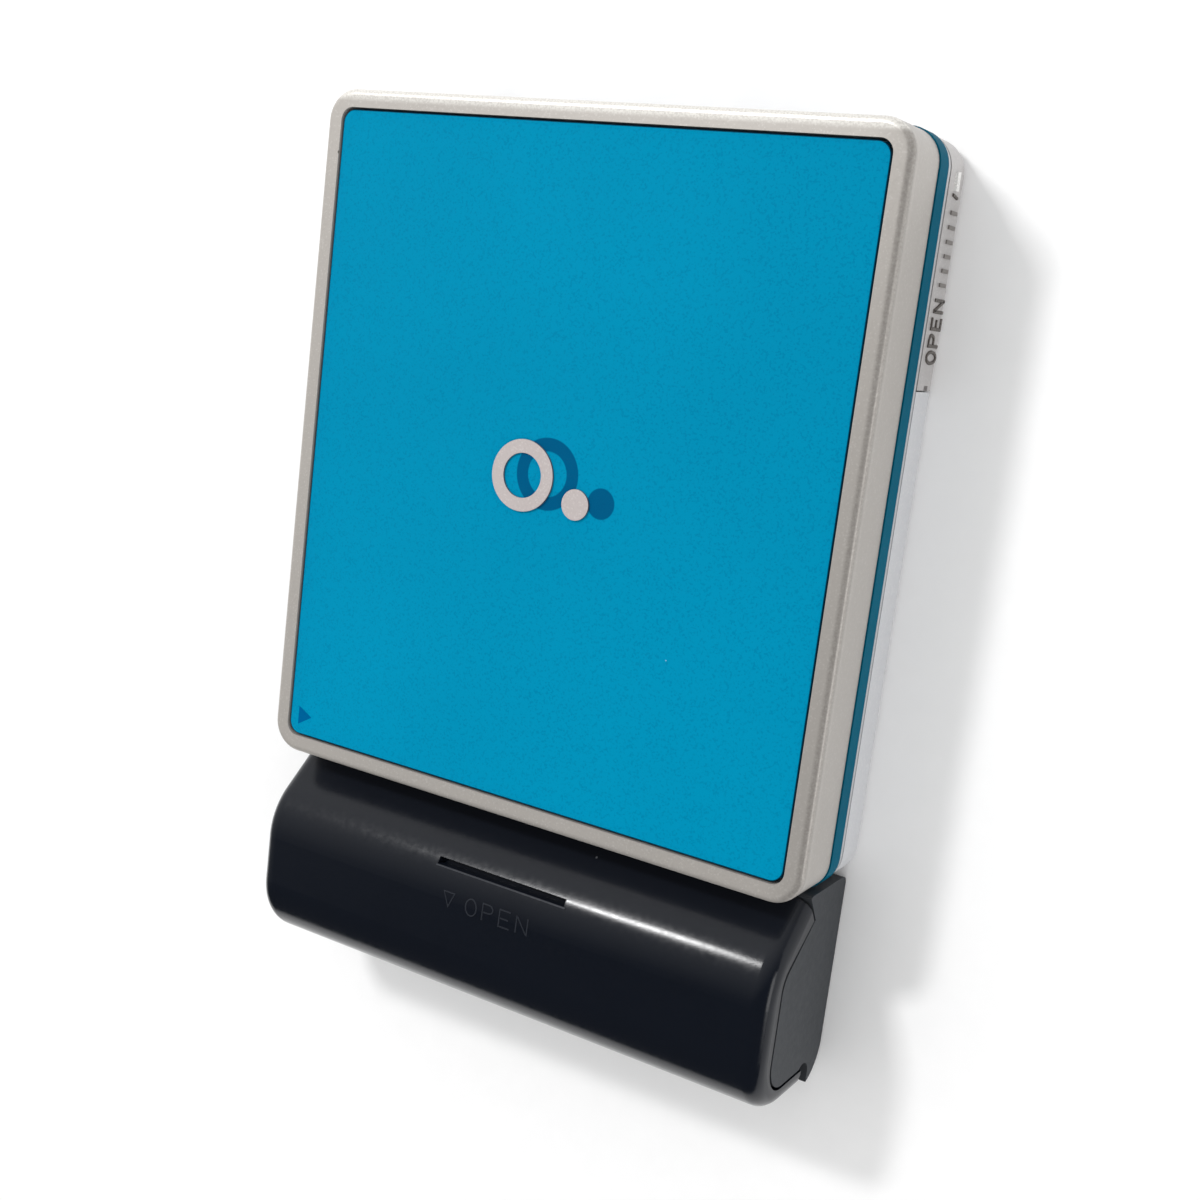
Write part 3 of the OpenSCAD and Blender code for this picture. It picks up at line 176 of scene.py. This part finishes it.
class Finish(Graph):
    """One node material, with the Principled shader ready."""

    def __init__(self, name, color, roughness, metallic=0.0, **constant):
        self.material = bpy.data.materials.new(name)
        self.material.use_nodes = True
        super().__init__(self.material.node_tree, "Principled BSDF")
        constant = {"Base Color": color, "Roughness": roughness, "Metallic": metallic, **constant}
        for socket, value in constant.items():
            self.target.inputs[socket.replace("_", " ")].default_value = value
        self.place = self.node("ShaderNodeTexCoord", {}, output="Object")

    def axis(self, which):
        """X, Y or Z of the place on the object, in metres."""
        return self.node("ShaderNodeSeparateXYZ", {}, self.place, output="XYZ".index(which))

    def past(self, which, edge_mm, soft_mm):
        """1 past an edge along X, Y or Z and 0 before it, over a soft step."""
        return self.axis(which).over(edge_mm * MM, soft_mm * MM)

    def noise(self, size_mm, detail, scaled=None):
        """Soft noise whose lumps are about size_mm across, or less along an axis scaled up."""
        place = self.place
        if scaled:
            place = self.node("ShaderNodeVectorMath", {"operation": "MULTIPLY"}, place, scaled)
        named = {"Vector": place, "Scale": 1 / (size_mm * MM), "Detail": detail}
        return self.node("ShaderNodeTexNoise", {}, named=named)

    def patches(self, size_mm, middle, soft, low, high):
        """Noise hardened into patches, from low between them to high in them."""
        return self.noise(size_mm, 2).over(middle, soft) * (high - low) + low

    def cells(self, size_mm, output):
        """Scattered cells about size_mm across: the distance to each one's heart, or its colour."""
        named = {"Vector": self.place, "Scale": 1 / (size_mm * MM)}
        return self.node("ShaderNodeTexVoronoi", {}, named=named, output=output)

    def chance(self, size_mm):
        """A number from 0 to 1 for each cell."""
        return self.node("ShaderNodeSeparateColor", {}, self.cells(size_mm, "Color"))

    def mix(self, amount, first, second):
        """Colour that goes from the first to the second as the amount goes from 0 to 1."""
        named = {0: amount, 6: first, 7: second}
        return self.node("ShaderNodeMix", {"data_type": "RGBA"}, named=named, output=2)

    def tint(self, amount, color):
        """Takes what feeds the Base Color so far towards a colour, by an amount from 0 to 1."""
        so_far = Value(self, self.target.inputs["Base Color"].links[0].from_socket)
        self.feed("Base Color", self.mix(amount, so_far, color))

    def bump(self, height, depth_mm, strength=1.0):
        named = {"Height": height, "Distance": depth_mm * MM, "Strength": strength}
        self.feed("Normal", self.node("ShaderNodeBump", {}, named=named))

    def put_on(self, *pieces):
        """Covers new pieces, or nodes of the model by name."""
        for piece in pieces:
            data = (nodes[piece] if isinstance(piece, str) else piece).data
            data.materials.clear()
            data.materials.append(self.material)


def speckled(finish, color, grain_mm, depth, cloud_mm, cloud_depth):
    """A fine grain and broad faint clouds; each depth is how far the shade goes either way."""
    grain = finish.noise(grain_mm, 1) * 2 - 1
    cloud = finish.noise(cloud_mm, 3) * 2 - 1
    return finish.mix(grain * depth + cloud * cloud_depth + 1, BLACK, color)


def chips(finish, cell_mm, share, spot_mm):
    """Small scattered marks about spot_mm across: 1 at the heart of a share of the cells."""
    radius = spot_mm / cell_mm / 2
    near = 1 - finish.cells(cell_mm, "Distance").over(radius, radius * 0.3)
    return finish.chance(cell_mm).over(1 - share, 0.001) * near


def far_from(finish, centre_mm):
    """Distance of each place from an upright line, in metres."""
    across, along = (finish.axis(which) - at * MM for which, at in zip("XY", centre_mm))
    return (across * across + along * along).root()


def outside(finish, half_x, half_y, corner):
    """Distance past the corner centres of a rounded rectangle; millimetres in, metres out."""
    across = (abs(finish.axis("X")) - (half_x - corner) * MM).most(0.0)
    along = (abs(finish.axis("Y")) - (half_y - corner) * MM).most(0.0)
    return (across * across + along * along).root()


def shell_metal(name, color, rough=0.36, metallic=0.35):
    """Silver paint with metal flakes: fine sparkle, faint clouds and a few dark nicks."""
    finish = Finish(name, color, rough, metallic)
    finish.feed("Base Color", speckled(finish, color, grain_mm=0.3, depth=0.09,
                                       cloud_mm=12, cloud_depth=0.05))
    finish.tint(finish.chance(0.16).over(0.9, 0.05) * 0.12, srgb(250, 248, 244))
    nicks = chips(finish, cell_mm=2.6, share=0.06, spot_mm=0.35)
    finish.tint(nicks * 0.8, srgb(60, 54, 48))
    finish.feed("Roughness", finish.noise(0.6, 2) * 0.14 + (rough - 0.07))
    finish.bump(finish.noise(0.1, 1), depth_mm=0.004, strength=0.6)
    return finish


def bare_metal(name, color, rough, drawn=None):
    """Bare metal with fine marks, drawn out where an axis is scaled up less than the others."""
    finish = Finish(name, color, rough, 1.0)
    marks = finish.noise(0.4, 3, drawn)
    finish.feed("Base Color", finish.mix(marks * 0.3 + 0.75, BLACK, color))
    finish.feed("Roughness", finish.noise(1.5, 2) * 0.2 + (rough - 0.1))
    finish.bump(marks, depth_mm=0.006)
    return finish


def moulded(name, color, rough, grain_mm=0.25, depth_mm=0.01, **constant):
    """Moulded plastic or rubber with an even fine grain and faint handling clouds."""
    finish = Finish(name, color, rough, **constant)
    finish.feed("Base Color", speckled(finish, color, grain_mm=grain_mm * 2, depth=0.1,
                                       cloud_mm=6, cloud_depth=0.15))
    finish.feed("Roughness", finish.noise(grain_mm * 3, 2) * 0.15 + (rough - 0.07))
    finish.bump(finish.noise(grain_mm, 2), depth_mm)
    return finish


def paint_nodes():
    """Every node of the model gets its finish."""
    paint_lid()
    paint_shell()
    paint_band()
    paint_window()
    paint_emblem()
    paint_case()
    sheet = bare_metal("sheet steel", srgb(178, 180, 184), 0.35, drawn=(1, 8, 1))
    sheet.put_on("mechanism_deck", "lid_inner_plate", "disc_holder", "holder_rails",
                 "holder_studs", "latch_bar", "cell_contacts")
    for made, finishes in ((bare_metal, METALS), (moulded, MOULDINGS)):
        for name, color, rough, names in finishes:
            made(name, srgb(*color), rough).put_on(*names)


def paint_lid():
    """Warm silver: a painted dark reflection at its right edge, painted shade darker at the right
    and below, and a painted highlight at the top.
    """
    lid = shell_metal("lid silver", srgb(187, 182, 176))
    # Painted dark reflection: a grainy dark band along the rounding of the right edge.
    dark_reflection_band = outside(lid, *LID_OUTLINE).over(2.85 * MM, 0.25 * MM) * lid.past("Z", 15.3, 0.3)
    patches = lid.patches(0.25, middle=0.5, soft=0.2, low=0.2, high=0.4)
    lid.tint(dark_reflection_band * lid.past("X", 34, 0.5) * patches, srgb(70, 64, 58))
    # Painted shade: darker down the walls and towards the right.
    shaded_walls, right = 1 - lid.past("Z", 15, 0.4), lid.past("X", 33, 2)
    lid.tint(shaded_walls.most(right * 0.7) * 0.4, srgb(146, 142, 138))
    # Painted highlight: a grainy bright band along the top edge.
    painted_top_highlight = lid.past("Y", 38.5, 0.3) * lid.past("Z", 15.5, 0.25)
    patches = lid.patches(0.22, middle=0.48, soft=0.15, low=0.3, high=0.65)
    lid.tint(painted_top_highlight * patches, srgb(242, 240, 234))
    lid.put_on("lid_frame", "lid_tongues")


def paint_shell():
    """Cooler silver on the shell and its door, and the slide's raised marks a good deal darker."""
    shell = shell_metal("shell silver", srgb(200, 201, 204), 0.4, 0.25)
    shell.put_on("back_shell", "bay_door")
    rim = shell_metal("rim silver", srgb(178, 180, 183), 0.34)
    rim.put_on("mid_frame", "play_key", "stop_key", "volume_rocker")
    slide = shell_metal("slide silver", srgb(182, 179, 178), 0.36)
    slide.tint(slide.past("X", 36.05, 0.03) * 0.8, srgb(98, 92, 86))
    slide.put_on("open_slider")


def paint_band():
    """Glossy teal band, a little lighter in broad patches."""
    teal = Finish("teal band", srgb(0, 92, 118), 0.25, Specular_IOR_Level=0.0, Coat_Weight=0.12)
    teal.feed("Base Color", teal.mix(teal.noise(12, 2), srgb(0, 76, 98), srgb(0, 92, 116)))
    teal.feed("Roughness", teal.noise(2, 2) * 0.1 + 0.15)
    teal.put_on("accent_band")


def paint_window():
    """Thick acrylic over a teal plate, filled with the colour; a painted dark reflection of the
    emblem is in it, and painted shade along its edge.
    """
    teal, soft = srgb(0, 142, 184), 0.08 * MM
    plate = Finish("teal plate", teal, 0.6, Specular_IOR_Level=0.0)
    plate.feed("Base Color", speckled(plate, teal, grain_mm=0.35, depth=0.06,
                                      cloud_mm=12, cloud_depth=0.03))
    plate.put_on("backing_plate")
    window = Finish("teal window", teal, 0.12, Alpha=0.88, Specular_IOR_Level=0.05)
    slope = window.axis("Y") * -6 + window.axis("X") * -2 + window.noise(30, 1) - 0.1
    fall = slope.most(0.0).least(1.0)
    window.feed("Base Color", window.mix(fall, srgb(0, 138, 178), srgb(0, 149, 190)))
    window.tint((1 - window.noise(0.26, 1).over(0.4, 0.12)) * 0.26, srgb(0, 84, 126))
    # Painted reflection: a dark copy of the emblem, set off to one side of it.
    from_ring = far_from(window, REFLECTED_RING)
    ring = from_ring.over(RING_INSIDE * MM, soft) * (1 - from_ring.over(RING_OUTSIDE * MM, soft))
    dot = 1 - far_from(window, REFLECTED_DOT).over(DOT_R * MM, soft)
    window.tint(ring.most(dot) * 0.92, srgb(0, 82, 126))
    # Painted shade: a thin dark line along the rim, for the gap round the window.
    corner = WINDOW_OUTLINE[-1]
    edge = outside(window, *WINDOW_OUTLINE).over((corner - 0.09) * MM, 0.04 * MM)
    window.tint(edge * 0.9, srgb(4, 36, 62))
    dust = chips(window, cell_mm=3.4, share=0.07, spot_mm=0.16)
    window.tint(dust * window.past("Z", WINDOW_FACE - 0.1, 0.1) * 0.6, srgb(200, 226, 232))
    window.put_on("clear_window")


def paint_emblem():
    """Matt silver, with painted shade in dark blue on the lower half of its walls."""
    emblem = shell_metal("emblem silver", srgb(190, 181, 179), 0.42, 0.1)
    # Painted shade: the lower half of the walls is dark blue, for the emblem's contact shadow.
    emblem.tint((1 - emblem.past("Z", WINDOW_FACE + 0.2, 0.03)) * 0.85, srgb(20, 30, 52))
    emblem.put_on("emblem")


def paint_case():
    """Grainy grey body, and a smooth glossy black lid with a few pale nicks."""
    body = moulded("grey end plate", srgb(54, 57, 61), 0.6, grain_mm=0.3, depth_mm=0.02,
                   Specular_IOR_Level=0.3)
    body.put_on("case_body")
    lid = moulded("black case", srgb(16, 20, 28), 0.17, grain_mm=0.22, depth_mm=0.003,
                  Specular_IOR_Level=0.3)
    lid.tint(chips(lid, cell_mm=5, share=0.12, spot_mm=0.3) * 0.5, srgb(120, 122, 126))
    lid.put_on("case_lid")


def add_mesh(name, points, faces):
    """A new flat-shaded mesh object at the origin."""
    data = bpy.data.meshes.new(name)
    data.from_pydata(np.asarray(points).tolist(), [], [list(face) for face in faces])
    data.update()
    made = bpy.data.objects.new(name, data)
    bpy.context.scene.collection.objects.link(made)
    return made


def grid_faces(rows, columns, around=True):
    """Quads between neighbouring points of a grid; around joins its last column to its first."""
    row = np.arange(rows - 1)[:, None]
    column = np.arange(columns if around else columns - 1)[None, :]
    here = (row * columns + column).reshape(-1)
    beside = (row * columns + (column + 1) % columns).reshape(-1)
    return np.stack([here, beside, beside + columns, here + columns], -1)


def carried(path, profile, closed=False):
    """A four-cornered profile (across, rise) carried along a flat path and mitred at its bends.

    At each point the profile's across runs to the path's left, along the sum of the two unit
    steps that meet there, turned a quarter and lengthened by 2 over that sum's square.
    """
    path = np.asarray(path, float)
    steps = np.roll(path, -1, 0) - path
    ahead = steps / np.linalg.norm(steps, axis=1, keepdims=True)
    if not closed:
        ahead[-1] = ahead[-2]
    behind = np.roll(ahead, 1, 0)
    if not closed:
        behind[0] = ahead[0]
    both = ahead + behind
    sharpest = 0.5
    length = 2 / np.maximum((both ** 2).sum(1, keepdims=True), sharpest)
    left = np.stack([-both[:, 1], both[:, 0]], -1) * length
    across, rise = np.asarray(profile, float).T
    flat = path[:, None, :] + left[:, None, :] * across[None, :, None]
    height = np.broadcast_to(rise, (len(path), len(rise)))[..., None]
    count = len(rise)
    faces = grid_faces(len(path) + closed, count) % (len(path) * count)
    if not closed:
        first = np.arange(count)
        ends = np.stack([first[::-1], first + (len(path) - 1) * count])
        faces = np.concatenate([faces, ends])
    return np.concatenate([flat, height], -1).reshape(-1, 3), faces


def joined(parts):
    """Several (points, faces) meshes made into one."""
    starts = np.cumsum([0] + [len(points) for points, faces in parts])
    faces = [faces + start for (points, faces), start in zip(parts, starts)]
    return np.concatenate([points for points, faces in parts]), np.concatenate(faces)


def arc(centre, radius, start, end, count=9):
    """Points of an ellipse's arc, from and to an angle in quarter turns."""
    angle = np.linspace(start, end, count) * np.pi / 2
    return (np.array(centre) + np.stack([np.cos(angle), np.sin(angle)], -1) * radius).tolist()


# Strokes of each sign in a cell one wide and one high, and whether each is a line or a loop
LINE, LOOP = False, True
SIGNS = {
    "O": [(arc((0.5, 0.5), (0.5, 0.5), 0, 3.84, 25), LOOP)],
    "P": [([(0, 0), (0, 1), (0.5, 1), *arc((0.55, 0.75), (0.4, 0.25), 0.8, -0.8),
            (0.5, 0.5), (0.1, 0.5)], LINE)],
    "E": [([(1, 0), (0, 0), (0, 1), (1, 1)], LINE), ([(0.1, 0.5), (0.85, 0.5)], LINE)],
    "N": [([(0, 0), (0, 1)], LINE), ([(0.04, 0.96), (0.96, 0.04)], LINE),
          ([(1, 0), (1, 1)], LINE)],
    "H": [([(0, 0), (0, 1)], LINE), ([(1, 0), (1, 1)], LINE), ([(0.1, 0.5), (0.9, 0.5)], LINE)],
    "L": [([(0, 1), (0, 0), (1, 0)], LINE)],
    "D": [([(0, 0), (0, 1), (0.4, 1), *arc((0.45, 0.5), (0.55, 0.5), 0.9, -0.9),
            (0.4, 0)], LOOP)],
    "plus": [([(0, 0.5), (1, 0.5)], LINE), ([(0.5, 0), (0.5, 0.4)], LINE),
             ([(0.5, 0.6), (0.5, 1)], LINE)],
    "minus": [([(0, 0.5), (1, 0.5)], LINE)],
    "down": [([(0, 1), (0.5, 0), (1, 1)], LOOP)],
    "right": [([(0, 0), (0, 1), (1, 0.5)], LOOP)],
    "square": [([(0, 0), (0, 1), (1, 1), (1, 0)], LOOP)],
}


def ridge(half_width, rise, foot=-0.05, slope=0.35):
    """Section of a low ridge with sloping sides, its foot sunk below the surface."""
    top = half_width * (1 - slope)
    return [(-half_width, foot), (half_width, foot), (top, rise), (-top, rise)]


def lettering(signs, start, base, width, height, pitch, stroke, rise):
    """Signs in a row, drawn with ridges: (along, up, rise) points in millimetres."""
    section = ridge(stroke / 2, rise)
    cells = [(sign, (start + place * pitch, base)) for place, sign in enumerate(signs)]
    return joined([carried(np.array(path) * (width, height) + corner, section, closed)
                   for sign, corner in cells for path, closed in SIGNS[sign]])


def laid(mesh, face):
    """Flat (along, up, rise) points in millimetres put on a flat face of the object."""
    points, faces = mesh
    origin, right, up = face
    axes = np.stack([right, up, np.cross(right, up)]).astype(float)
    return (points @ axes + origin) * MM, faces


def on_case(mesh):
    """Flat (along X, up from the player's end, rise) points laid round the case's shoulder.

    The tilt's sine is the distance past the arc's centre over its radius. Each point stands at
    the radius plus its rise along that tilt, and before the centre it stays on the flat.
    """
    points, faces = mesh
    along, up, rise = points.T
    tilt = np.arcsin(np.clip((SHOULDER_BELOW + up) / SHOULDER_R, 0, 1))
    y = PLAYER_END + np.minimum(up, -SHOULDER_BELOW) + (SHOULDER_R + rise) * np.sin(tilt)
    z = SHOULDER_HEIGHT + (SHOULDER_R + rise) * np.cos(tilt)
    return np.stack([along, y, z], -1) * MM, faces


def add_piece(name, mesh, body, finish):
    """A piece of its own that moves with a body and takes the finish it is given."""
    piece = add_mesh(name, *mesh)
    finish.put_on(piece)
    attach(piece, body)


def add_slide_relief():
    """The word, the rib in a painted highlight and the rib's foot in painted shade, raised on the
    slide's outer face.
    """
    dark = shell_metal("slide lettering", srgb(84, 78, 73), 0.4)
    word = lettering("OPEN", start=17.05, base=1.45, width=1.15, height=2.7,
                     pitch=1.75, stroke=0.42, rise=0.14)
    add_piece("slide_word", laid(word, SLIDE_FACE), "slide", dark)
    # Painted highlight: the rib is a much brighter copy of the slide's silver, for its lit flank.
    rib_painted_highlight = shell_metal("slide rib highlight", srgb(236, 235, 232), 0.25)
    rib = carried([(34.4, 3.2), (36.3, 3.35)], ridge(0.62, 0.24))
    add_piece("slide_rib", laid(rib, SLIDE_FACE), "slide", rib_painted_highlight)
    # Painted shade: the rib's foot takes the dark lettering finish, for its shaded flank.
    foot = carried([(33.75, 2.5), (34.0, 3.9)], ridge(0.18, 0.18))
    add_piece("slide_rib_foot", laid(foot, SLIDE_FACE), "slide", dark)


def add_key_relief():
    """Signs on the keys and the rocker, and the word beside the hold knob."""
    keys = shell_metal("key relief", srgb(150, 152, 155), 0.4)
    for body, sign, middle in (("play", "right", -11), ("stop", "square", -1.5)):
        size = 1.2
        relief = lettering([sign], start=-middle - size / 2, base=2.3, width=size, height=size,
                           pitch=size, stroke=0.22, rise=0.08)
        add_piece(body + "_sign", laid(relief, KEY_FACE), body, keys)
    signs = lettering(["plus", "minus"], start=-17.4, base=2.2, width=1.4, height=1.4,
                      pitch=9.4, stroke=0.26, rise=0.08)
    add_piece("volume_signs", laid(signs, KEY_FACE), "volume", keys)
    word = lettering("HOLD", start=-22.4, base=2.05, width=0.95, height=1.5,
                     pitch=1.5, stroke=0.24, rise=0.08)
    add_piece("hold_word", laid(word, LEFT_FACE), "base", keys)


def add_case_relief():
    """The arrow, the word and the finger slot's lower lip, raised on the case's shoulder."""
    black = moulded("case relief", srgb(40, 43, 50), 0.22, grain_mm=0.22, depth_mm=0.003,
                    Specular_IOR_Level=0.4)
    arrow = lettering(["down"], start=-6.9, base=-11.9, width=1.5, height=1.7,
                      pitch=1, stroke=0.2, rise=0.08)
    word = lettering("OPEN", start=-3.7, base=-12.1, width=1.5, height=2,
                     pitch=2.35, stroke=0.22, rise=0.08)
    add_piece("case_word", on_case(joined([arrow, word])), "case_cover", black)
    lip = carried([(x, -7.72) for x in (-8.9, -4, 4, 9)], ridge(0.13, 0.07))
    add_piece("slit_lip", on_case(lip), "case_cover", black)


def add_print():
    """Dark blue arrow printed on the window's lower left corner, as a thin prism."""
    corners = np.array([(-32.4, -36.2), (-30.35, -34.95), (-32.4, -33.9)])
    heights = (WINDOW_FACE - 0.01, WINDOW_FACE + 0.015)
    points = np.concatenate([np.column_stack([corners, np.full(3, at)]) for at in heights])
    faces = [*grid_faces(2, 3).tolist(), (2, 1, 0), (3, 4, 5)]
    ink = moulded("dark blue ink", srgb(0, 92, 144), 0.5, grain_mm=0.1, depth_mm=0.002,
                  Specular_IOR_Level=0.0)
    add_piece("arrow_print", (points * MM, faces), "lid", ink)


def floor_sheet():
    """A wide pale sheet a hair below the object, with a faint paper grain."""
    across = np.linspace(-FLOOR_HALF, FLOOR_HALF, FLOOR_POINTS)
    x, y = np.meshgrid(across, across, indexing="ij")
    points = np.stack([x, y, np.full_like(x, -FLOOR_DROP)], -1).reshape(-1, 3)
    faces = grid_faces(FLOOR_POINTS, FLOOR_POINTS, around=False)[:, ::-1]
    floor = add_mesh("floor", points, faces)
    pale = Finish("pale floor", srgb(250, 250, 250), 0.9)
    pale.feed("Base Color", pale.mix(pale.noise(3, 4), srgb(249, 249, 249), srgb(254, 254, 254)))
    pale.put_on(floor)


def soft_world():
    """An even white world, which glossy surfaces see bright behind the player and dark right."""
    world = bpy.data.worlds.new("studio")
    world.use_nodes = True
    sky = Graph(world.node_tree, "Background")
    sky.target.inputs["Color"].default_value = (1.0, 1.0, 1.0, 1.0)
    way = sky.node("ShaderNodeTexCoord", {}, output="Generated")
    bright_way = (-0.4, 0.9, 0.0)
    toward = sky.node("ShaderNodeVectorMath", {"operation": "DOT_PRODUCT"}, way, bright_way,
                      output="Value")
    seen = sky.node("ShaderNodeMapRange", {}, toward, -0.15, 0.9, 0.04, 1.1)
    glossy = sky.node("ShaderNodeLightPath", {}, output="Is Glossy Ray")
    sky.feed("Strength", sky.node("ShaderNodeMix", {}, named={0: glossy, 2: 0.8, 3: seen}))
    bpy.context.scene.world = world


def studio_light(name, at, width, height, power):
    """Soft rectangular light aimed at the object's middle."""
    data = bpy.data.lights.new(name, "AREA")
    data.shape = "RECTANGLE"
    data.size = width
    data.size_y = height
    data.energy = power
    light = bpy.data.objects.new(name, data)
    light.location = at
    light.rotation_euler = (-Vector(at)).to_track_quat("-Z", "Y").to_euler()
    bpy.context.scene.collection.objects.link(light)


def light_scene():
    """White world, a small key above the left top corner and a weaker light at the right."""
    soft_world()
    bpy.context.scene.view_settings.view_transform = "Standard"
    studio_light("key", at=(-0.212, 0.27, 0.405), width=0.10, height=0.05, power=1.25)
    studio_light("side", at=(0.5, -0.10, 0.10), width=0.3, height=0.15, power=0.5)


place_camera()
paint_nodes()
add_slide_relief()
add_key_relief()
add_case_relief()
add_print()
floor_sheet()
light_scene()
